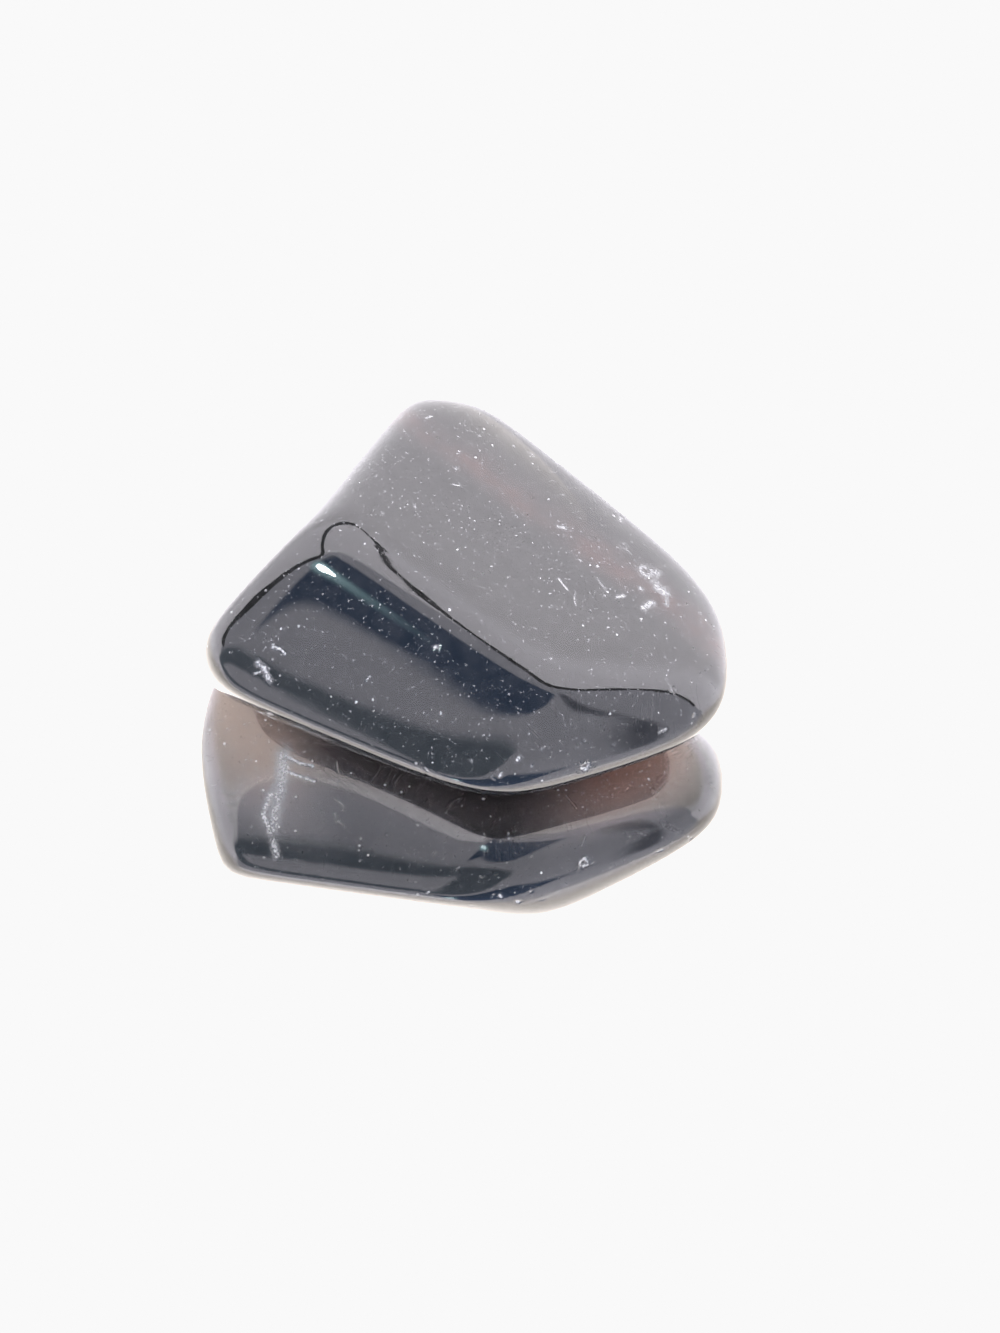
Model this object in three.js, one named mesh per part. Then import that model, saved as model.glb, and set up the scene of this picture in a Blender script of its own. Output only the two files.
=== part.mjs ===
// A tumbled obsidian stone: one solid piece of volcanic glass, worn smooth and polished.
// Millimetres, +Z up. The origin is on the surface it rests on, under the middle of its outline.
//
// The stone is a blunt wedge with broad worn faces and softened edges. Each face is a plane, and
// the skin is the smooth surface where the exponential distances past all the planes add up to one:
//     sum over faces of exp((direction . p - reach) / softness) = 1
// with p measured from the core. A face with little softness ends in a tight edge, and one with
// more blends widely into its neighbours. The resting facet alone is cut off flat.

import * as THREE from "three";
import { mergeVertices } from "three/addons/utils/BufferGeometryUtils.js";

// Driving dimensions.
const CORE = new THREE.Vector3(-0.02, 0.09, 6); // the point inside the stone that its faces are measured from
const GRID_CELLS = 26; // mesh cells along each side of the cube that is blown up to the skin
const SOLVER_STEPS = 12; // Newton steps to reach the skin along one ray
const WELD_DISTANCE = 1e-4;

const SMOKY_BLACK = 0x2b2a2e;
const POLISHED = 0.05;

// The worn faces. azimuth: 0 faces -Y and 90 faces +X. elevation: above the horizon. Degrees.
// reach: distance from the core to the plane. softness: width of the rounding. Millimetres.
const FACES = [
  { azimuth: 80, elevation: 70, reach: 4.27, softness: 1.43 }, // broad top, sloping down to the right
  { azimuth: -13.4, elevation: 41.8, reach: 8, softness: 0.47 }, // steep front
  { azimuth: 22, elevation: 11, reach: 11.66, softness: 0.8 }, // front, right of the middle
  { azimuth: -30.8, elevation: -35.7, reach: 10.34, softness: 0.7 }, // undercut below the steep front
  { azimuth: -71.5, elevation: 2, reach: 14.18, softness: 0.57 }, // left tip
  { azimuth: -71.7, elevation: -53.3, reach: 11.42, softness: 1.15 }, // underside, rising to the left tip
  { azimuth: -115.4, elevation: 34.4, reach: 8.88, softness: 0.55 }, // long slope down to the back left
  { azimuth: 181, elevation: 42, reach: 11.57, softness: 0.43 }, // back edge of the top
  { azimuth: 159.8, elevation: -41.6, reach: 6.29, softness: 1.13 }, // undercut back
  { azimuth: 91, elevation: -21.1, reach: 14.73, softness: 1.46 }, // blunt right end
  { azimuth: 25, elevation: -60, reach: 10.45, softness: 1.67 }, // underside, rising to the right
  { azimuth: 0, elevation: -90, reach: 6.55, softness: 1.94 }, // underside, above the resting facet
];

// The unit vector that a face looks along.
function direction({ azimuth, elevation }) {
  const turn = THREE.MathUtils.degToRad(azimuth);
  const rise = THREE.MathUtils.degToRad(elevation);
  const level = Math.cos(rise);
  return new THREE.Vector3(level * Math.sin(turn), -level * Math.cos(turn), Math.sin(rise));
}

const planes = FACES.map((face) => ({ ...face, direction: direction(face) }));

// Distance from the core to the skin along a unit ray. It starts on the nearest plane, which is
// always outside the skin, and Newton's method closes in on the logarithm of the sum.
function distanceToSkin(ray) {
  const slopes = planes.map((plane) => plane.direction.dot(ray));
  let distance = Infinity;
  planes.forEach((plane, i) => {
    if (slopes[i] > 0) {
      distance = Math.min(distance, plane.reach / slopes[i]);
    }
  });
  for (let step = 0; step < SOLVER_STEPS; step += 1) {
    let sum = 0;
    let growth = 0;
    planes.forEach((plane, i) => {
      const weight = Math.exp((distance * slopes[i] - plane.reach) / plane.softness);
      sum += weight;
      growth += (weight * slopes[i]) / plane.softness;
    });
    distance -= (Math.log(sum) * sum) / growth;
  }
  return distance;
}

// A cube's grid, blown out along rays from the core until it lies on the skin. The tangent
// spaces the rays evenly. Rays that reach the resting surface first stop there.
function stoneGeometry() {
  const side = 2;
  const cube = new THREE.BoxGeometry(side, side, side, GRID_CELLS, GRID_CELLS, GRID_CELLS);
  cube.deleteAttribute("normal");
  cube.deleteAttribute("uv");
  const points = cube.attributes.position;
  const ray = new THREE.Vector3();
  for (let i = 0; i < points.count; i += 1) {
    ray.fromBufferAttribute(points, i);
    ray.set(...ray.toArray().map((t) => Math.tan((t * Math.PI) / 4))).normalize();
    const toSkin = distanceToSkin(ray);
    const toSurface = ray.z < 0 ? -CORE.z / ray.z : Infinity;
    const point = ray.clone().multiplyScalar(Math.min(toSkin, toSurface)).add(CORE);
    points.setXYZ(i, point.x, point.y, toSurface < toSkin ? 0 : point.z);
  }
  const skin = mergeVertices(cube, WELD_DISTANCE);
  skin.computeVertexNormals();
  return skin;
}

const obsidian = new THREE.MeshStandardMaterial({
  color: SMOKY_BLACK,
  roughness: POLISHED,
  metalness: 0,
});

const stone = new THREE.Mesh(stoneGeometry(), obsidian);
stone.name = "obsidian_stone";

const part = new THREE.Group();
part.add(stone);

export default part;
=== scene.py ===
"""Looks of a tumbled obsidian stone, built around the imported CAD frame. Metres, +Z up."""

import math

import bmesh
import bpy
import numpy as np
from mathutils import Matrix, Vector, noise


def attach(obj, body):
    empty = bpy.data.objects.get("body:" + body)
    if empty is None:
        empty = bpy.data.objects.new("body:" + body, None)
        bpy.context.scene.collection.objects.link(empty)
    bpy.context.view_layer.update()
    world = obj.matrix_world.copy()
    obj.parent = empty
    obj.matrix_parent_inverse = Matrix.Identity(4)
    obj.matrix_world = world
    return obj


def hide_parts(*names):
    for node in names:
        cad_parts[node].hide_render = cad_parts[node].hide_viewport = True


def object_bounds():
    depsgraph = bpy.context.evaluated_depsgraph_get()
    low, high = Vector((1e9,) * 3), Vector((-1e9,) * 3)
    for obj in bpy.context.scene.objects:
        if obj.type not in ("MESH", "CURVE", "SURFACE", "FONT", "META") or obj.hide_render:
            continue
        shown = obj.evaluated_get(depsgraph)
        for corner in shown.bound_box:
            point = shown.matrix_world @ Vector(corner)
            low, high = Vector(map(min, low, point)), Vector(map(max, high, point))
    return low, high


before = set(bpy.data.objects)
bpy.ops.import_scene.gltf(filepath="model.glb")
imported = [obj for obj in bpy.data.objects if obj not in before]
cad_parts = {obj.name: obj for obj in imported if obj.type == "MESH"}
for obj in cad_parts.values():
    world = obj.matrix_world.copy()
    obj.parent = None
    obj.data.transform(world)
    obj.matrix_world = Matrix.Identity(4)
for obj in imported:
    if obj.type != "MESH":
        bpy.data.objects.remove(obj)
cad_low, cad_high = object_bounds()

MM = 0.001
NODE = "obsidian_stone"

# Camera: it looks down on the stone from the front, past its middle.
CAMERA_ELEVATION = 40  # degrees
CAMERA_DISTANCE = 254.5 * MM
CAMERA_LENS = 135.0  # millimetres, on a sensor of SENSOR_WIDTH millimetres
SENSOR_WIDTH = 36
CAMERA_NEAR = 10 * MM
AIM_FROM_MIDDLE = Vector((2.0, -3.41, -2.09)) * MM

# The stone's worn faces, as in the CAD model: azimuth (0 faces -Y, 90 faces +X) and elevation in
# degrees, reach from the core and softness of the rounding in millimetres.
CORE = Vector((-0.02, 0.09, 6.0)) * MM
FACES = (
    (80, 70, 4.27, 1.43),  # broad top, sloping down to the right
    (-13.4, 41.8, 8.0, 0.47),  # steep front
    (22, 11, 11.66, 0.8),  # front, right of the middle
    (-30.8, -35.7, 10.34, 0.7),  # undercut below the steep front
    (-71.5, 2, 14.18, 0.57),  # left tip
    (-71.7, -53.3, 11.42, 1.15),  # underside, rising to the left tip
    (-115.4, 34.4, 8.88, 0.55),  # long slope down to the back left
    (181, 42, 11.57, 0.43),  # back edge of the top
    (159.8, -41.6, 6.29, 1.13),  # undercut back
    (91, -21.1, 14.73, 1.46),  # blunt right end
    (25, -60, 10.45, 1.67),  # underside, rising to the right
    (0, -90, 6.55, 1.94),  # underside, above the resting facet
)
GRID_CELLS = 90  # mesh cells along each side of the cube that the skin is wrapped from
SOLVER_STEPS = 14
SMALLEST_SLOPE = 1e-6  # a ray that leans less than this towards a face never meets it

# Wear in the polish. A mark follows a route of (azimuth, elevation) places seen from the core, in
# degrees. Width, the half-width of the mark, and depth are in millimetres. Frost is how much of
# the light it scatters. A ring is clear in the middle.
MARKS = (
    # the bruise near the right end of the top: rings, a soft patch and bright crumbs
    {"route": ((93.5, 6.5),), "width": 0.42, "depth": 0.04, "frost": 0.13, "ring": True},
    {"route": ((94, 5),), "width": 0.34, "depth": 0.02, "frost": 0.12},
    {"route": ((89.5, 5),), "width": 0.45, "depth": 0.01, "frost": 0.07},
    {"route": ((86.5, 3.6), (88, 4.5)), "width": 0.34, "depth": 0.05, "frost": 0.15},
    {"route": ((84.3, 7),), "width": 0.14, "depth": 0.03, "frost": 0.22},
    {"route": ((76, 6), (80, 5)), "width": 0.20, "depth": 0.04, "frost": 0.17},
    {"route": ((85, 3.2), (81.5, 3)), "width": 0.16, "depth": 0.02, "frost": 0.07},
    # crumbs left of it
    {"route": ((75.5, 10.5), (77.5, 9.5)), "width": 0.10, "depth": 0.03, "frost": 0.20},
    {"route": ((73, 13),), "width": 0.09, "depth": 0.03, "frost": 0.16},
    {"route": ((88.5, 16),), "width": 0.09, "depth": 0.03, "frost": 0.30},
    {"route": ((81, 15.5), (78, 14), (76.5, 13)), "width": 0.11, "depth": 0.01, "frost": 0.06},
    {"route": ((89, 21),), "width": 0.09, "depth": 0.02, "frost": 0.16},
    {"route": ((103.5, 10.5),), "width": 0.30, "depth": 0.02, "frost": 0.05, "ring": True},
    {"route": ((112, 28), (111, 25.5)), "width": 0.12, "depth": 0.03, "frost": 0.16},
    {"route": ((116, 10), (118, 9.5)), "width": 0.12, "depth": 0.03, "frost": 0.12},
    # scratches in the middle of the top
    {"route": ((68.5, 26), (67, 24.5), (64.5, 22)), "width": 0.06, "depth": 0.03, "frost": 0.25},
    {"route": ((65.5, 19.5), (62, 19.2), (58.5, 18)), "width": 0.05, "depth": 0.02, "frost": 0.14},
    {"route": ((-171, 59), (180, 57.5)), "width": 0.05, "depth": 0.02, "frost": 0.14},
    # crumbs near the back edge of the top
    {"route": ((-176.5, 49),), "width": 0.12, "depth": 0.03, "frost": 0.18},
    {"route": ((-147.5, 48),), "width": 0.08, "depth": 0.02, "frost": 0.12},
    {"route": ((-98, 67), (-104, 66)), "width": 0.07, "depth": 0.02, "frost": 0.12},
    {"route": ((-79.5, 56),), "width": 0.09, "depth": 0.02, "frost": 0.10},
    {"route": ((-166.5, 35.5), (-169, 34.5)), "width": 0.08, "depth": 0.02, "frost": 0.14},
    {"route": ((173, 32),), "width": 0.08, "depth": 0.02, "frost": 0.12},
    {"route": ((160, 26.5),), "width": 0.09, "depth": 0.02, "frost": 0.12},
    {"route": ((155, 24), (152, 23.5)), "width": 0.07, "depth": 0.02, "frost": 0.10},
    # marks on the front faces
    {"route": ((31.5, -13),), "width": 0.30, "depth": 0.09, "frost": 0.30, "ring": True},
    {"route": ((14, -6), (14.6, -5.4)), "width": 0.12, "depth": 0.04, "frost": 0.28},
    {"route": ((17.5, -8.5),), "width": 0.10, "depth": 0.03, "frost": 0.16},
    {"route": ((9.5, -9.5), (9.9, -8.6)), "width": 0.10, "depth": 0.03, "frost": 0.20},
    {"route": ((7.5, -9.2), (8.2, -10.2)), "width": 0.07, "depth": 0.02, "frost": 0.10},
    {"route": ((20, -4.5), (21, -4.2)), "width": 0.07, "depth": 0.02, "frost": 0.16},
    {"route": ((31.5, -5.5),), "width": 0.08, "depth": 0.02, "frost": 0.14},
    {"route": ((38.5, -8.5),), "width": 0.08, "depth": 0.02, "frost": 0.14},
    {"route": ((50, -8.5), (51, -8.3)), "width": 0.12, "depth": 0.03, "frost": 0.14},
    {"route": ((58, -7.5),), "width": 0.14, "depth": 0.05, "frost": 0.10},
    {"route": ((56.5, -1.5),), "width": 0.18, "depth": 0.03, "frost": 0.06, "ring": True},
    {"route": ((30, 14),), "width": 0.09, "depth": 0.02, "frost": 0.16},
    {"route": ((3, -5.5),), "width": 0.08, "depth": 0.02, "frost": 0.12},
    {"route": ((-28, 9.5), (-28.6, 8.4)), "width": 0.09, "depth": 0.02, "frost": 0.12},
    {"route": ((-9.5, 20.5), (-8.2, 20.8)), "width": 0.10, "depth": 0.02, "frost": 0.18},
    # the chip near the left tip and the scratch above it
    {
        "route": ((-54.6, 6.8), (-52.6, 6), (-51.8, 5), (-50.5, 4)),
        "width": 0.16, "depth": 0.05, "frost": 0.20,
    },
    {"route": ((-53.8, 4.6), (-52, 6.2)), "width": 0.08, "depth": 0.03, "frost": 0.16},
    {"route": ((-54, 10.5), (-52.5, 10.6), (-51, 10)), "width": 0.09, "depth": 0.02, "frost": 0.22},
    # pale streaks and scratches on the underside, near the left tip
    {
        "route": ((-65.5, -25.5), (-60, -20.5), (-57, -15.5), (-54, -10)),
        "width": 0.42, "depth": 0.0, "frost": 0.14,
    },
    {"route": ((-52.5, -8), (-50, -5.5)), "width": 0.22, "depth": 0.02, "frost": 0.22},
    {"route": ((-60, -16.5), (-58.5, -12), (-54.5, -9.5)), "width": 0.20, "depth": 0.02, "frost": 0.20},
    {
        "route": ((-64.5, -25.5), (-59.5, -26.5), (-55.5, -28)),
        "width": 0.09, "depth": 0.02, "frost": 0.26,
    },
    {"route": ((-62, -22.5), (-56.5, -24), (-52, -25)), "width": 0.09, "depth": 0.02, "frost": 0.24},
    {"route": ((-50, -32.5), (-47.5, -30.5)), "width": 0.05, "depth": 0.02, "frost": 0.10},
    {"route": ((-45, -28.5), (-44, -27)), "width": 0.05, "depth": 0.02, "frost": 0.08},
    {"route": ((-43, -24), (-40, -23.5), (-39, -22)), "width": 0.05, "depth": 0.02, "frost": 0.12},
    {"route": ((-41, -20.5), (-39.5, -18.8), (-37, -19)), "width": 0.05, "depth": 0.02, "frost": 0.12},
    {"route": ((-71, -10.5), (-67, -12)), "width": 0.05, "depth": 0.02, "frost": 0.10},
    {"route": ((-68.5, -9), (-65, -10.5)), "width": 0.05, "depth": 0.02, "frost": 0.08},
    {"route": ((-38.5, -6),), "width": 0.08, "depth": 0.02, "frost": 0.16},
    {"route": ((-8, -9.5), (-8.6, -8.8)), "width": 0.08, "depth": 0.02, "frost": 0.18},
)
MARK_CUTS = 5  # each mesh cell under a mark is cut this many times
MARK_REACH = 1.5  # the cut cells reach this many widths from the route, and the margin
MARK_MARGIN = 0.2 * MM
MARK_END = 2.0  # a mark has no effect further than this many widths from its route
MARK_FADE = 1.5  # how fast a mark fades away from its route
RING_RADIUS = 0.75  # of a ring's bright line, in widths
RING_WIDTH = 0.28
# The outline of a mark is ragged: how fine two layers of noise are, per metre, and their strengths.
COARSE_RAGGED_SCALE = 9000.0
FINE_RAGGED_SCALE = 20700.0
COARSE_RAGGED = 0.7
FINE_RAGGED = 0.5


def unit(azimuth, elevation):
    """The unit vector towards an azimuth (0 is -Y, 90 is +X) and elevation, in degrees."""
    turn = math.radians(azimuth)
    rise = math.radians(elevation)
    return Vector((math.cos(rise) * math.sin(turn), -math.cos(rise) * math.cos(turn), math.sin(rise)))


# ---------------------------------------------------------------- camera


def make_camera():
    camera = bpy.data.objects.new("camera", bpy.data.cameras.new("camera"))
    bpy.context.scene.collection.objects.link(camera)
    middle = (cad_low + cad_high) / 2
    towards_camera = unit(0, CAMERA_ELEVATION)
    camera.location = middle + AIM_FROM_MIDDLE + towards_camera * CAMERA_DISTANCE
    camera.rotation_mode = "QUATERNION"
    camera.rotation_quaternion = towards_camera.to_track_quat("Z", "Y")
    camera.data.lens = CAMERA_LENS
    camera.data.sensor_width = SENSOR_WIDTH
    camera.data.clip_start = CAMERA_NEAR
    bpy.context.scene.camera = camera


# ---------------------------------------------------------------- the stone's shape

PLANES = np.array([unit(azimuth, elevation) for azimuth, elevation, _, _ in FACES])
REACH = np.array([reach for _, _, reach, _ in FACES]) * MM
SOFTNESS = np.array([softness for _, _, _, softness in FACES]) * MM


def skin_distance(rays):
    """Distance from the core to the skin along each unit ray, by Newton's method."""
    slopes = rays @ PLANES.T
    met = slopes > SMALLEST_SLOPE
    past = np.where(met, REACH / np.maximum(slopes, SMALLEST_SLOPE), np.inf)
    distance = past.min(axis=1)
    for _ in range(SOLVER_STEPS):
        level = (distance[:, None] * slopes - REACH) / SOFTNESS
        top = level.max(axis=1)
        weight = np.exp(level - top[:, None])
        total = weight.sum(axis=1)
        growth = (weight * slopes / SOFTNESS).sum(axis=1) / total
        distance = distance - (top + np.log(total)) / growth
    return distance


def skin_points(rays):
    """Points where unit rays from the core meet the skin, or the resting facet under it."""
    distance = skin_distance(rays)
    down = np.minimum(rays[:, 2], -SMALLEST_SLOPE)
    floor_distance = np.where(rays[:, 2] < 0, -CORE.z / down, np.inf)
    points = np.array(CORE) + rays * np.minimum(distance, floor_distance)[:, None]
    points[floor_distance < distance, 2] = 0.0
    return points


def cube_rays(cube):
    """Unit rays through points of the cube, spaced evenly by the tangent."""
    rays = np.tan(cube * math.pi / 4)
    return rays / np.linalg.norm(rays, axis=1, keepdims=True)


def route_points(mark):
    """The points of the mark's route, on the skin."""
    rays = np.array([unit(azimuth, elevation) for azimuth, elevation in mark["route"]])
    return skin_points(rays)


def distance_to_route(points, route):
    """Distance from each point to the route, a chain of straight stretches."""
    nearest = np.linalg.norm(points - route[0], axis=1)
    for start, end in zip(route[:-1], route[1:]):
        along = end - start
        share = np.clip((points - start) @ along / (along @ along), 0, 1)
        away = np.linalg.norm(points - start - share[:, None] * along, axis=1)
        nearest = np.minimum(nearest, away)
    return nearest


def near_a_mark(points):
    """Which points lie close enough to a mark to need finer mesh."""
    near = np.zeros(len(points), bool)
    for mark in MARKS:
        reach = mark["width"] * MM * MARK_REACH + MARK_MARGIN
        near |= distance_to_route(points, route_points(mark)) < reach
    return near


def raggedness(point):
    """A share round 1 that stretches and shrinks the marks from place to place."""
    coarse = noise.noise(Vector(point) * COARSE_RAGGED_SCALE)
    fine = noise.noise(Vector(point) * FINE_RAGGED_SCALE)
    return 1 + COARSE_RAGGED * coarse + FINE_RAGGED * fine


def wear(points):
    """How deep each point is worn, and how frosted it is."""
    depth = np.zeros(len(points))
    frost = np.zeros(len(points))
    for mark in MARKS:
        away = distance_to_route(points, route_points(mark)) / (mark["width"] * MM)
        for i in np.flatnonzero(away < MARK_END):
            ragged = raggedness(points[i])
            here = away[i] * ragged
            if mark.get("ring"):
                bright = math.exp(-((here - RING_RADIUS) / RING_WIDTH) ** 2)
                hollow = math.exp(-(here**4))
            else:
                bright = math.exp(-(here**2) * MARK_FADE)
                hollow = bright
            depth[i] = max(depth[i], mark["depth"] * MM * hollow * ragged)
            frost[i] = max(frost[i], mark["frost"] * bright * ragged)
    return depth, frost


def make_stone():
    """A cube of even cells, finer under the marks, wrapped on the skin and worn."""
    builder = bmesh.new()
    bmesh.ops.create_cube(builder, size=2)
    edges = builder.edges[:]
    bmesh.ops.subdivide_edges(builder, edges=edges, cuts=GRID_CELLS - 1, use_grid_fill=True)
    faces = builder.faces[:]
    middles = np.array([face.calc_center_median() for face in faces])
    marked = near_a_mark(skin_points(cube_rays(middles)))
    edges = {edge for face, is_marked in zip(faces, marked) if is_marked for edge in face.edges}
    bmesh.ops.subdivide_edges(builder, edges=list(edges), cuts=MARK_CUTS, use_grid_fill=True)

    rays = cube_rays(np.array([vertex.co for vertex in builder.verts]))
    points = skin_points(rays)
    depth, frost = wear(points)
    for vertex, point in zip(builder.verts, points - rays * depth[:, None]):
        vertex.co = point
    for face in builder.faces:
        face.smooth = True
    mesh = bpy.data.meshes.new("stone")
    builder.to_mesh(mesh)
    builder.free()
    mesh.attributes.new("frost", "FLOAT", "POINT").data.foreach_set("value", frost)
    stone = bpy.data.objects.new("polished_stone", mesh)
    bpy.context.scene.collection.objects.link(stone)
    return stone


# ---------------------------------------------------------------- node helpers


class Nodes:
    """Short calls for building a node tree."""

    def __init__(self, tree):
        self.tree = tree
        tree.nodes.clear()

    def add(self, kind, **settings):
        node = self.tree.nodes.new(kind)
        for name, value in settings.items():
            setattr(node, name, value)
        return node

    def put(self, socket, value):
        """Link the value in if it is a socket, or set it if it is a constant."""
        if isinstance(value, bpy.types.NodeSocket):
            self.tree.links.new(value, socket)
        else:
            socket.default_value = value

    def maths(self, operation, first, second=0.0, third=0.0):
        node = self.add("ShaderNodeMath", operation=operation)
        self.put(node.inputs[0], first)
        self.put(node.inputs[1], second)
        self.put(node.inputs[2], third)
        return node.outputs[0]

    def ramp(self, value, start, end):
        """0 before start and 1 after end, smooth between."""
        node = self.add("ShaderNodeMapRange", interpolation_type="SMOOTHSTEP")
        self.put(node.inputs["Value"], value)
        node.inputs["From Min"].default_value = start
        node.inputs["From Max"].default_value = end
        return node.outputs[0]

    def between(self, value, low, high, soft_low, soft_high):
        """1 from low to high, fading to 0 over the soft widths outside."""
        rising = self.ramp(value, low - soft_low, low)
        falling = self.ramp(value, high + soft_high, high)
        return self.maths("MULTIPLY", rising, falling)

    def mix(self, factor, first, second):
        node = self.add("ShaderNodeMix", data_type="RGBA")
        self.put(node.inputs["Factor"], factor)
        self.put(node.inputs["A"], first)
        self.put(node.inputs["B"], second)
        return node.outputs["Result"]

    def noise(self, place, size, detail=2.0):
        """Smooth noise with blobs of about this size, in metres."""
        node = self.add("ShaderNodeTexNoise")
        node.inputs["Scale"].default_value = 1 / size
        node.inputs["Detail"].default_value = detail
        self.put(node.inputs["Vector"], place)
        return node

    def split(self, vector):
        """The three numbers of a vector."""
        node = self.add("ShaderNodeSeparateXYZ")
        self.put(node.inputs[0], vector)
        return node.outputs


def colour(red, green, blue):
    return (red, green, blue, 1.0)


# ---------------------------------------------------------------- finish of the stone

IOR = 1.5
POLISH_ROUGHNESS = 0.02
SMOKE_COLOUR = colour(0.23, 0.22, 0.18)
SMOKE_DENSITY = 1500.0  # per metre
CLEAR_GLASS = colour(0.95, 0.93, 0.92)

# A haze is the share of the light that the skin scatters in place of letting it through.
GREY_HAZE = 0.01
GREY_MOTTLE = 0.7 * MM
MOTTLE_RANGE = (0.2, 0.9)  # of the noise, from no haze to all of it
# The reddish band across the top: partly a band in the glass, partly painted glow of light that comes
# through the stone.
RED_HAZE_AND_PAINTED_GLOW = 0.019
RED_TINT = colour(1.0, 0.52, 0.44)
RED_BAND_SLOPE = (0.54, 0.84)  # the band lies across this direction, seen from above
RED_BAND_PLACE = 4.6 * MM
RED_BAND_WIDTH = 2.2 * MM
RED_FACING = (0.3, 0.6)  # how far up the skin faces, from no band to all of it
RED_CLOUDS = 3.0 * MM
RED_CLOUD_DETAIL = 3.0
RED_CLOUD_RANGE = (0.3, 0.7)
RED_LEAST = 0.45  # strength of the band between its clouds
RED_CLOUD_GAIN = 0.7  # and what a cloud adds
# Painted glow of the warm light that comes through the thin edges of the stone, on its downward faces
# near the floor.
UNDER_FACING = (-0.05, -0.5)  # from no haze to all of it, as the skin turns downwards
PAINTED_UNDER_GLOW = 0.045
PAINTED_UNDER_GLOW_TINT = colour(0.90, 0.76, 0.72)
UNDER_HEIGHTS = (2.6 * MM, 0.2 * MM)  # from no haze to all of it
# Painted glow of the light that comes through the thin left tip, on its low downward faces.
PAINTED_LEFT_GLOW = 0.15
PAINTED_LEFT_GLOW_TINT = colour(1.0, 0.74, 0.60)
LEFT_HEIGHTS = (5.0 * MM, 0.8 * MM)
LEFT_SPAN = (-12.0 * MM, -10.5 * MM, 4.0 * MM, 5.0 * MM)  # left, right and how soft each end is
# Painted glow of the light that comes through the thin right end, on its downward faces near the floor.
PAINTED_RIGHT_GLOW = 0.22
PAINTED_RIGHT_GLOW_TINT = colour(0.95, 0.53, 0.40)
RIGHT_SPAN = (8.5 * MM, 10.5 * MM, 6.5 * MM, 4.0 * MM)

# Each kind of dust: the spacing of its specks, the radius of the biggest as a share of the
# spacing, and how strongly they cover.
FINE_DUST = (0.13 * MM, 0.43, 0.14)
CRUMBS = (0.42 * MM, 0.17, 0.45)
DUST_RARITY = 3.0  # the higher, the fewer big specks
DUST_CRUMPLE = 0.07 * MM  # how fine the crumpling of the specks is
DUST_SHIFT = 0.20 * MM  # and how far it goes
DUST_WHITE = colour(0.95, 0.95, 0.95)
FROST_GRAIN = 0.11 * MM
FROST_GRAIN_RANGE = (0.40, 0.62)
FROST_LEAST = 0.35  # strength of the frost between its grains
FROST_GRAIN_GAIN = 1.3  # and what a grain adds
WHITE_SHOWS = 0.04  # this much frost or dust hides the tint of the glass
WHITE_ROUGHNESS = 1.5  # roughness that full frost or dust would add


def dust(nodes, place, spacing, biggest, cover):
    """White dust specks: how strongly each place is covered."""
    crumpled = nodes.add("ShaderNodeVectorMath", operation="MULTIPLY_ADD")
    nodes.put(crumpled.inputs[0], nodes.noise(place, DUST_CRUMPLE).outputs["Color"])
    crumpled.inputs[1].default_value = (DUST_SHIFT, DUST_SHIFT, DUST_SHIFT)
    nodes.put(crumpled.inputs[2], place)
    cells = nodes.add("ShaderNodeTexVoronoi", feature="F1")
    cells.inputs["Scale"].default_value = 1 / spacing
    nodes.put(cells.inputs["Vector"], crumpled.outputs[0])
    parts = nodes.add("ShaderNodeSeparateColor")
    nodes.put(parts.inputs[0], cells.outputs["Color"])
    chance, strength, _ = parts.outputs
    size = nodes.maths("MULTIPLY", nodes.maths("POWER", chance, DUST_RARITY), biggest)
    inside = nodes.maths("GREATER_THAN", size, cells.outputs["Distance"])
    return nodes.maths("MULTIPLY", inside, nodes.maths("MULTIPLY", strength, cover))


def frost_and_dust(nodes, place):
    """How much white frost or dust covers each place."""
    frosted = nodes.add("ShaderNodeAttribute", attribute_name="frost")
    grain = nodes.ramp(nodes.noise(place, FROST_GRAIN).outputs["Fac"], *FROST_GRAIN_RANGE)
    broken = nodes.maths("MULTIPLY_ADD", grain, FROST_GRAIN_GAIN, FROST_LEAST)
    white = nodes.maths("MULTIPLY", frosted.outputs["Fac"], broken)
    for kind in (FINE_DUST, CRUMBS):
        white = nodes.maths("MAXIMUM", white, dust(nodes, place, *kind))
    return white


def red_band_and_painted_glow(nodes, place, upward):
    """Where the cloudy reddish band lies across the top: partly a band in the glass, partly painted
    glow of light that comes through the stone.
    """
    x, y, _ = nodes.split(place)
    across = nodes.maths("MULTIPLY", y, RED_BAND_SLOPE[1])
    across = nodes.maths("MULTIPLY_ADD", x, RED_BAND_SLOPE[0], across)
    off_band = nodes.maths("ABSOLUTE", nodes.maths("SUBTRACT", across, RED_BAND_PLACE))
    band = nodes.ramp(off_band, RED_BAND_WIDTH, 0.0)
    band = nodes.maths("MULTIPLY", band, nodes.ramp(upward, *RED_FACING))
    clouds = nodes.noise(place, RED_CLOUDS, RED_CLOUD_DETAIL).outputs["Fac"]
    cloudy = nodes.ramp(clouds, *RED_CLOUD_RANGE)
    return nodes.maths("MULTIPLY", band, nodes.maths("MULTIPLY_ADD", cloudy, RED_CLOUD_GAIN, RED_LEAST))


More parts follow.
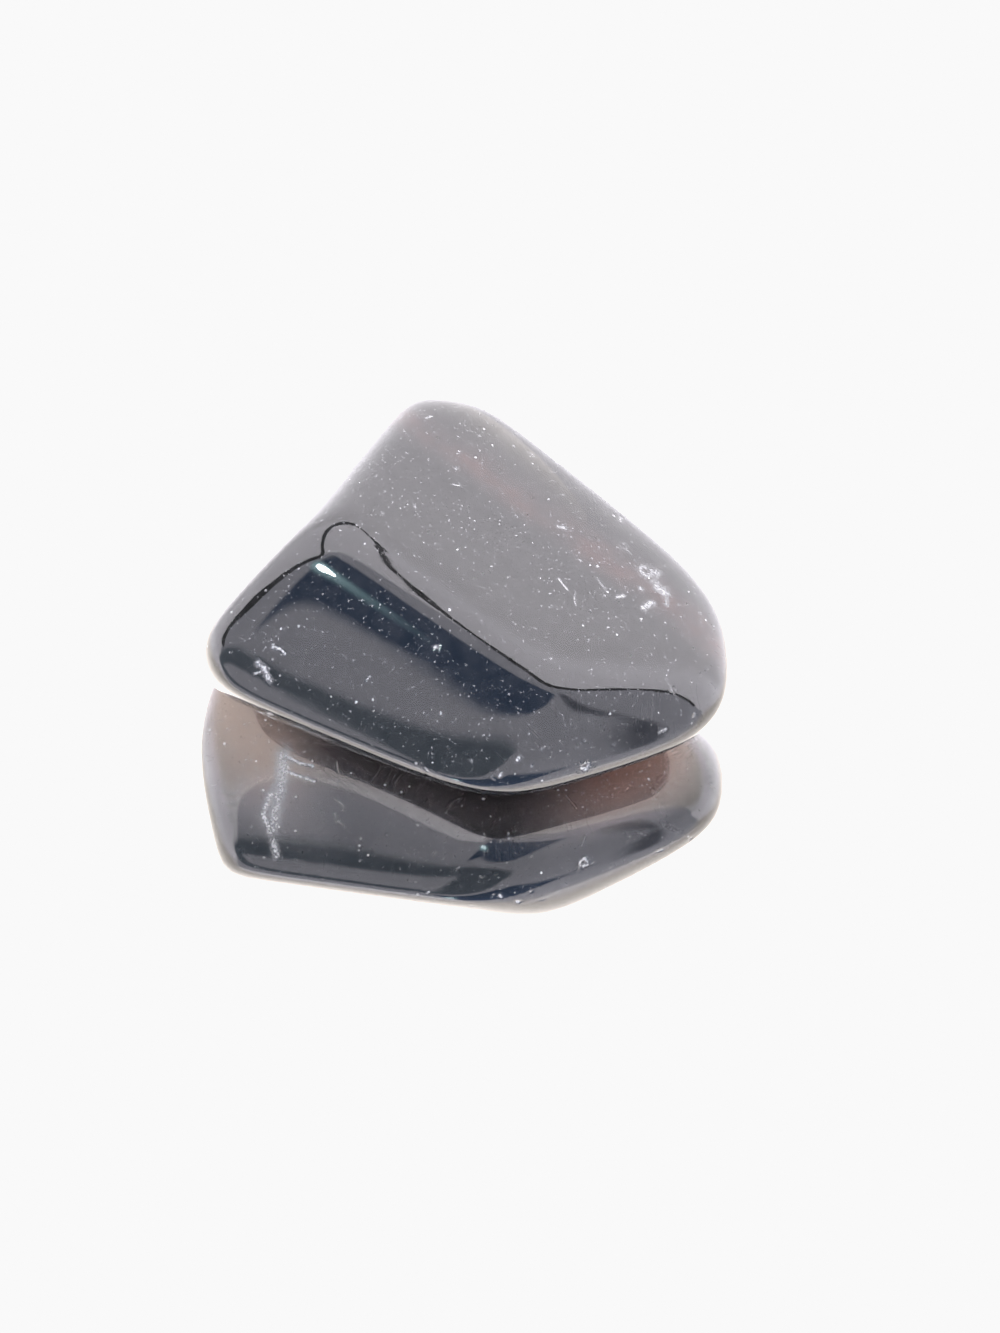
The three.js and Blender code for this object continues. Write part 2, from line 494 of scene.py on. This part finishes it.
def skin_haze_and_painted_glow(nodes, place, upward):
    """How hazy the skin is at each place, and the colour of its scattering: a grey mottle, the reddish
    band with its painted glow, and painted glow of light through the thin edges on the underside and at
    both ends.
    """
    x, _, z = nodes.split(place)
    # Painted glow of light that comes through the thin edges: on the downward faces near the floor and
    # at the left and right ends.
    downward = nodes.ramp(upward, *UNDER_FACING)
    under = nodes.maths("MULTIPLY", downward, nodes.ramp(z, *UNDER_HEIGHTS))
    left = nodes.maths("MULTIPLY", downward, nodes.ramp(z, *LEFT_HEIGHTS))
    left = nodes.maths("MULTIPLY", left, nodes.between(x, *LEFT_SPAN))
    right = nodes.maths("MULTIPLY", under, nodes.between(x, *RIGHT_SPAN))
    mottle = nodes.ramp(nodes.noise(place, GREY_MOTTLE).outputs["Fac"], *MOTTLE_RANGE)
    haze_and_painted_glow = nodes.maths("MULTIPLY", mottle, GREY_HAZE)
    tint_with_painted_glow = CLEAR_GLASS
    for share, strength, shade in (
        (red_band_and_painted_glow(nodes, place, upward), RED_HAZE_AND_PAINTED_GLOW, RED_TINT),
        (under, PAINTED_UNDER_GLOW, PAINTED_UNDER_GLOW_TINT),
        (left, PAINTED_LEFT_GLOW, PAINTED_LEFT_GLOW_TINT),
        (right, PAINTED_RIGHT_GLOW, PAINTED_RIGHT_GLOW_TINT),
    ):
        haze_and_painted_glow = nodes.maths("MULTIPLY_ADD", share, strength, haze_and_painted_glow)
        tint_with_painted_glow = nodes.mix(share, tint_with_painted_glow, shade)
    return haze_and_painted_glow, tint_with_painted_glow


def obsidian_material():
    """Smoky glass. A thin grey mottle lies in the skin, with white dust and frosted wear. Brown hazes
    paint the glow of light that comes through the stone: on the underside, at both ends and, in part,
    in a reddish band across the top.
    """
    material = bpy.data.materials.new("smoky obsidian")
    material.use_nodes = True
    nodes = Nodes(material.node_tree)
    texture = nodes.add("ShaderNodeTexCoord")
    place = texture.outputs["Object"]
    _, _, upward = nodes.split(texture.outputs["Normal"])
    haze_and_painted_glow, tint_with_painted_glow = skin_haze_and_painted_glow(nodes, place, upward)
    white = frost_and_dust(nodes, place)
    haze_and_painted_glow = nodes.maths("ADD", haze_and_painted_glow, white)
    tint_with_painted_glow = nodes.mix(nodes.ramp(white, 0.0, WHITE_SHOWS), tint_with_painted_glow, DUST_WHITE)
    roughness = nodes.maths("MULTIPLY_ADD", white, WHITE_ROUGHNESS, POLISH_ROUGHNESS)

    glass = nodes.add("ShaderNodeBsdfPrincipled")
    nodes.put(glass.inputs["Base Color"], tint_with_painted_glow)
    nodes.put(glass.inputs["Roughness"], roughness)
    nodes.put(glass.inputs["Transmission Weight"], nodes.maths("SUBTRACT", 1.0, haze_and_painted_glow))
    glass.inputs["IOR"].default_value = IOR
    smoke = nodes.add("ShaderNodeVolumeAbsorption")
    smoke.inputs["Color"].default_value = SMOKE_COLOUR
    smoke.inputs["Density"].default_value = SMOKE_DENSITY
    output = nodes.add("ShaderNodeOutputMaterial")
    nodes.put(output.inputs["Surface"], glass.outputs[0])
    nodes.put(output.inputs["Volume"], smoke.outputs[0])
    return material


# ---------------------------------------------------------------- studio

# A white light tent. Places in it are given as degrees from straight overhead: the first number
# goes to the right, the second towards the camera.
RIM = 90.0  # degrees from overhead to the horizon
NEARLY_OVERHEAD = 1e-4  # keeps the division safe straight overhead
BACK_GLOW = colour(4.95, 4.8, 5.1)
TOP_GLOW = colour(6.6, 6.4, 6.9)
BACK_TO_TOP = (-44.0, -26.0)  # the back fades to the top between these, in degrees forward
FRONT_GLOW = colour(3.25, 3.25, 3.7)
FRONT_EDGE_SOFTNESS = 1.0
# the line where the dimmer front of the tent begins, from left to right
FRONT_EDGE = (
    (-90, 30),
    (-60, 18),
    (-48, 14),
    (-36, 22),
    (-26, 24),
    (-14, 22),
    (8, 5),
    (25, 17),
    (46, 13),
    (54, 4),
    (90, 30),
)

# Darker regions. Each side of a region is a start, an end and a softness in degrees.
LOW_GLOW = colour(1.0, 1.18, 1.45)
LOW_BAND = (((-59, 31.5), (-27, 44.5), 3.0), ((-26, 45.5), (28, 80), 4.0))
LEFT_HORIZON = (((-75, 39), (-38, 54), 3.0), ((-36, 57), (-48, 75), 3.0))  # not in the low band
PATCH_GLOW = colour(1.0, 1.05, 1.3)
RIGHT_PATCH = (
    ((41, 27), (63, 49), 2.5),
    ((65, 55.5), (52, 50.3), 4.0),
    ((52, 50.3), (41.6, 38.7), 4.0),
    ((41.6, 38.7), (28.7, 16.5), 3.0),
    ((34, 30), (46, 24), 4.0),
)
OPENING_GLOW = colour(0.5, 0.72, 1.2)
OPENING = (
    ((-28, 38.8), (-2, 13.6), 1.0),
    ((-1, 14.5), (24, 26.5), 1.2),
    ((23, 26.5), (35, 30), 1.5),
    ((35, 30), (29, 49), 2.5),
    ((29, 49), (17, 56), 3.0),
    ((17, 56), (-1, 52), 3.0),
    ((-1, 52), (-16, 42.6), 3.0),
    ((-16, 42.6), (-18.5, 36), 4.0),
)
OPENING_CORNER = (
    ((-28, 38.8), (-2, 13.6), 1.0),
    ((-16, 24), (-14, 40), 1.0),
    ((-17, 37.5), (-28, 38.9), 1.2),
)

# The lamp, and the soft glow round it.
LAMP_PLACE = (-15.0, 28.3)
LAMP_WIDTH = math.radians(3.2)
LAMP_DISTANCE = 0.6
LAMP_POWER = 0.16
LAMP_COLOUR = (0.85, 0.95, 1.0)
HALO_GLOW = colour(3.5, 5.5, 6.0)
HALO_EDGE = (5.5, 1.5)  # degrees from the lamp, from no glow to all of it

# The polish of the stone's image in the floor shows a dimmer top of the tent.
IMAGE_GLOW = colour(4.1, 3.8, 3.6)
IMAGE_FORWARD = (24.0, 4.0)  # from undimmed to dimmed, in degrees forward
IMAGE_TILT = (80.0, 62.0)  # and in degrees from overhead
BACKDROP = colour(1.2, 1.2, 1.2)
PALE = 0.947  # how bright pure white is shown

# The dark seam of the tent: right, forward and width, in degrees.
SEAM = (
    (-66, 21, 10.0),
    (-48, 14, 9.0),
    (-36, 21.5, 6.0),
    (-27, 24, 4.0),
    (-18.5, 23.5, 2.6),
    (-13, 21, 1.6),
    (-10.3, 9, 2.5),
    (-6, -13, 5.0),
    (4, -29, 5.5),
    (14, -35, 4.0),
    (18, -36.4, 2.6),
    (21, -36, 1.2),
    (22, -33.7, 0.6),
    (19.6, -24, 0.35),
    (14.5, -11.5, 0.28),
    (12, -5.9, 0.45),
    (11.2, -3.8, 0.6),
    (9, 1, 0.8),
    (8.2, 3.6, 2.0),
    (8.6, 4.7, 4.0),
    (10, 6, 5.0),
    (15, 9, 5.2),
    (25, 17, 5.2),
    (39, 16.5, 5.0),
    (47.3, 12.8, 3.8),
    (49.5, 8.9, 3.4),
    (50.5, 5.9, 3.0),
    (51.1, 4.4, 3.4),
    (52.1, 3.8, 3.8),
    (53.7, 4.1, 3.0),
    (56.5, 5.9, 2.5),
    (59.7, 8.8, 2.4),
    (64.1, 12.2, 2.5),
    (74, 19.7, 2.8),
    (83, 25.5, 3.2),
)
SEAM_GLOW = colour(0.5, 0.5, 0.55)
TENT_RADIUS = 1.0

# How many bounces light straight off the stone, or off the bare floor, is counted to have made when
# it meets the world and the seam. The count is one higher in the world.
WORLD_BOUNCES = 2
SEAM_BOUNCES = 1

FLOOR_REACH = 1.5
FLOOR_GAP = 0.01 * MM  # between the floor and the resting facet
FLOOR_COLOUR = colour(0.93, 0.93, 0.93)


def tent_direction(right, forward):
    """The unit vector towards a place in the tent."""
    return unit(math.degrees(math.atan2(right, forward)), RIM - math.hypot(right, forward))


def tent_place(nodes):
    """Where in the tent the world is looked at: right, forward and degrees from overhead."""
    texture = nodes.add("ShaderNodeTexCoord")
    across, back, rise = nodes.split(texture.outputs["Generated"])
    tilt = nodes.maths("DEGREES", nodes.maths("ARCCOSINE", rise))
    flat = nodes.maths("MULTIPLY_ADD", across, across, nodes.maths("MULTIPLY", back, back))
    flat = nodes.maths("SQRT", flat)
    stretch = nodes.maths("DIVIDE", tilt, nodes.maths("MAXIMUM", flat, NEARLY_OVERHEAD))
    right = nodes.maths("MULTIPLY", across, stretch)
    forward = nodes.maths("MULTIPLY", nodes.maths("MULTIPLY", back, -1.0), stretch)
    return right, forward, tilt


def outside_line(nodes, right, forward, start, end):
    """Degrees outside the line from start to end."""
    along = Vector(end) - Vector(start)
    out = Vector((along.y, -along.x)).normalized()
    offset = -out.dot(Vector(start))
    part = nodes.maths("MULTIPLY_ADD", forward, out.y, offset)
    return nodes.maths("MULTIPLY_ADD", right, out.x, part)


def soft_region(nodes, right, forward, sides):
    """1 inside a convex outline, 0 outside."""
    inside = 1.0
    for start, end, softness in sides:
        outside = outside_line(nodes, right, forward, start, end)
        inside = nodes.maths("MULTIPLY", inside, nodes.ramp(outside, softness, -softness))
    return inside


def in_front(nodes, right, forward):
    """1 in front of the front edge, 0 behind it."""
    curve = nodes.add("ShaderNodeFloatCurve")
    points = curve.mapping.curves[0].points
    while len(points) < len(FRONT_EDGE):
        points.new(0.5, 0.5)
    for point, (edge_right, edge_forward) in zip(points, FRONT_EDGE):
        point.location = ((edge_right + RIM) / (2 * RIM), edge_forward / RIM)
        point.handle_type = "VECTOR"
    curve.mapping.update()
    nodes.put(curve.inputs["Value"], nodes.maths("MULTIPLY_ADD", right, 1 / (2 * RIM), 0.5))
    past_edge = nodes.maths("SUBTRACT", forward, nodes.maths("MULTIPLY", curve.outputs[0], RIM))
    return nodes.ramp(past_edge, -FRONT_EDGE_SOFTNESS, FRONT_EDGE_SOFTNESS)


def lamp_halo(nodes, right, forward):
    """The glow round the lamp, strongest at the lamp."""
    away_right = nodes.maths("SUBTRACT", right, LAMP_PLACE[0])
    away_forward = nodes.maths("SUBTRACT", forward, LAMP_PLACE[1])
    square = nodes.maths("MULTIPLY", away_forward, away_forward)
    square = nodes.maths("MULTIPLY_ADD", away_right, away_right, square)
    halo = nodes.ramp(nodes.maths("SQRT", square), *HALO_EDGE)
    return nodes.maths("MULTIPLY", halo, halo)


def tent_light(nodes, right, forward):
    """The light of the tent as the polish of the stone shows it."""
    behind = nodes.mix(nodes.ramp(forward, *BACK_TO_TOP), BACK_GLOW, TOP_GLOW)
    light = nodes.mix(in_front(nodes, right, forward), behind, FRONT_GLOW)
    low = soft_region(nodes, right, forward, LOW_BAND)
    horizon = soft_region(nodes, right, forward, LEFT_HORIZON)
    low = nodes.maths("MULTIPLY", low, nodes.maths("SUBTRACT", 1.0, horizon))
    light = nodes.mix(low, light, LOW_GLOW)
    light = nodes.mix(soft_region(nodes, right, forward, RIGHT_PATCH), light, PATCH_GLOW)
    opening = soft_region(nodes, right, forward, OPENING)
    corner = soft_region(nodes, right, forward, OPENING_CORNER)
    light = nodes.mix(nodes.maths("MAXIMUM", opening, corner), light, OPENING_GLOW)
    return nodes.mix(lamp_halo(nodes, right, forward), light, HALO_GLOW)


def more_bounces(nodes, path, bounces):
    """1 for light that has bounced more than this many times."""
    return nodes.maths("GREATER_THAN", path.outputs["Ray Depth"], bounces + 0.5)


def make_world():
    world = bpy.data.worlds.new("light tent")
    bpy.context.scene.world = world
    world.use_nodes = True
    nodes = Nodes(world.node_tree)
    right, forward, tilt = tent_place(nodes)
    light = tent_light(nodes, right, forward)
    path = nodes.add("ShaderNodeLightPath")
    by_the_floor = more_bounces(nodes, path, WORLD_BOUNCES)
    in_image = nodes.maths("MULTIPLY", path.outputs["Is Reflection Ray"], by_the_floor)
    in_image = nodes.maths("MULTIPLY", in_image, nodes.ramp(forward, *IMAGE_FORWARD))
    in_image = nodes.maths("MULTIPLY", in_image, nodes.ramp(tilt, *IMAGE_TILT))
    light = nodes.mix(in_image, light, IMAGE_GLOW)
    # Behind the stone, and mirrored in the bare floor, the tent is plain white.
    first_bounce = nodes.maths("SUBTRACT", 1.0, by_the_floor)
    in_floor = nodes.maths("MULTIPLY", path.outputs["Is Singular Ray"], first_bounce)
    plain = nodes.maths("MAXIMUM", path.outputs["Is Camera Ray"], in_floor)
    light = nodes.mix(plain, light, BACKDROP)
    background = nodes.add("ShaderNodeBackground")
    nodes.put(background.inputs["Color"], light)
    output = nodes.add("ShaderNodeOutputWorld")
    nodes.put(output.inputs["Surface"], background.outputs[0])


def seam_material():
    """A dim glow. The stone's image in the floor doesn't show the seam."""
    material = bpy.data.materials.new("tent seam")
    material.use_nodes = True
    nodes = Nodes(material.node_tree)
    glow = nodes.add("ShaderNodeEmission")
    glow.inputs["Color"].default_value = SEAM_GLOW
    unseen = nodes.add("ShaderNodeBsdfTransparent")
    path = nodes.add("ShaderNodeLightPath")
    shown = nodes.add("ShaderNodeMixShader")
    nodes.put(shown.inputs[0], more_bounces(nodes, path, SEAM_BOUNCES))
    nodes.put(shown.inputs[1], glow.outputs[0])
    nodes.put(shown.inputs[2], unseen.outputs[0])
    output = nodes.add("ShaderNodeOutputMaterial")
    nodes.put(output.inputs["Surface"], shown.outputs[0])
    return material


def make_seam():
    """The tent's dark seam, a thin cord that shows only in the polish of the stone."""
    data = bpy.data.curves.new("tent_seam", "CURVE")
    data.dimensions = "3D"
    data.bevel_depth = TENT_RADIUS / 2
    spline = data.splines.new("BEZIER")
    spline.bezier_points.add(len(SEAM) - 1)
    for point, (right, forward, width) in zip(spline.bezier_points, SEAM):
        point.co = tent_direction(right, forward) * TENT_RADIUS
        point.radius = math.radians(width)
        point.handle_left_type = "AUTO"
        point.handle_right_type = "AUTO"
    data.materials.append(seam_material())
    seam = bpy.data.objects.new("tent_seam", data)
    bpy.context.scene.collection.objects.link(seam)
    seam.visible_camera = False


def make_lamp():
    data = bpy.data.lights.new("lamp", "AREA")
    data.shape = "DISK"
    data.size = LAMP_DISTANCE * LAMP_WIDTH
    data.energy = LAMP_POWER
    data.color = LAMP_COLOUR
    lamp = bpy.data.objects.new("lamp", data)
    bpy.context.scene.collection.objects.link(lamp)
    towards = tent_direction(*LAMP_PLACE)
    lamp.location = towards * LAMP_DISTANCE
    lamp.rotation_mode = "QUATERNION"
    lamp.rotation_quaternion = towards.to_track_quat("Z", "Y")


def make_floor():
    """The polished white floor that mirrors the stone."""
    mesh = bpy.data.meshes.new("floor")
    side = FLOOR_REACH
    corners = [(-side, -side, 0), (side, -side, 0), (side, side, 0), (-side, side, 0)]
    mesh.from_pydata(corners, [], [(0, 1, 2, 3)])
    floor = bpy.data.objects.new("floor", mesh)
    bpy.context.scene.collection.objects.link(floor)
    floor.location.z = cad_low.z - FLOOR_GAP
    material = bpy.data.materials.new("polished white floor")
    material.use_nodes = True
    nodes = Nodes(material.node_tree)
    surface = nodes.add("ShaderNodeBsdfPrincipled")
    surface.inputs["Base Color"].default_value = FLOOR_COLOUR
    surface.inputs["Metallic"].default_value = 1.0
    surface.inputs["Roughness"].default_value = 0.0
    output = nodes.add("ShaderNodeOutputMaterial")
    nodes.put(output.inputs["Surface"], surface.outputs[0])
    mesh.materials.append(material)


def set_exposure():
    """Plain colours, with everything brighter than white shown as the same pale grey-white."""
    view = bpy.context.scene.view_settings
    view.view_transform = "Standard"
    view.use_curve_mapping = True
    combined = view.curve_mapping.curves[3]
    combined.points[1].location = (1.0, PALE)
    view.curve_mapping.extend = "HORIZONTAL"
    view.curve_mapping.update()


make_camera()
stone = make_stone()
stone.data.materials.append(obsidian_material())
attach(stone, "root")
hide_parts(NODE)
make_world()
make_seam()
make_lamp()
make_floor()
set_exposure()
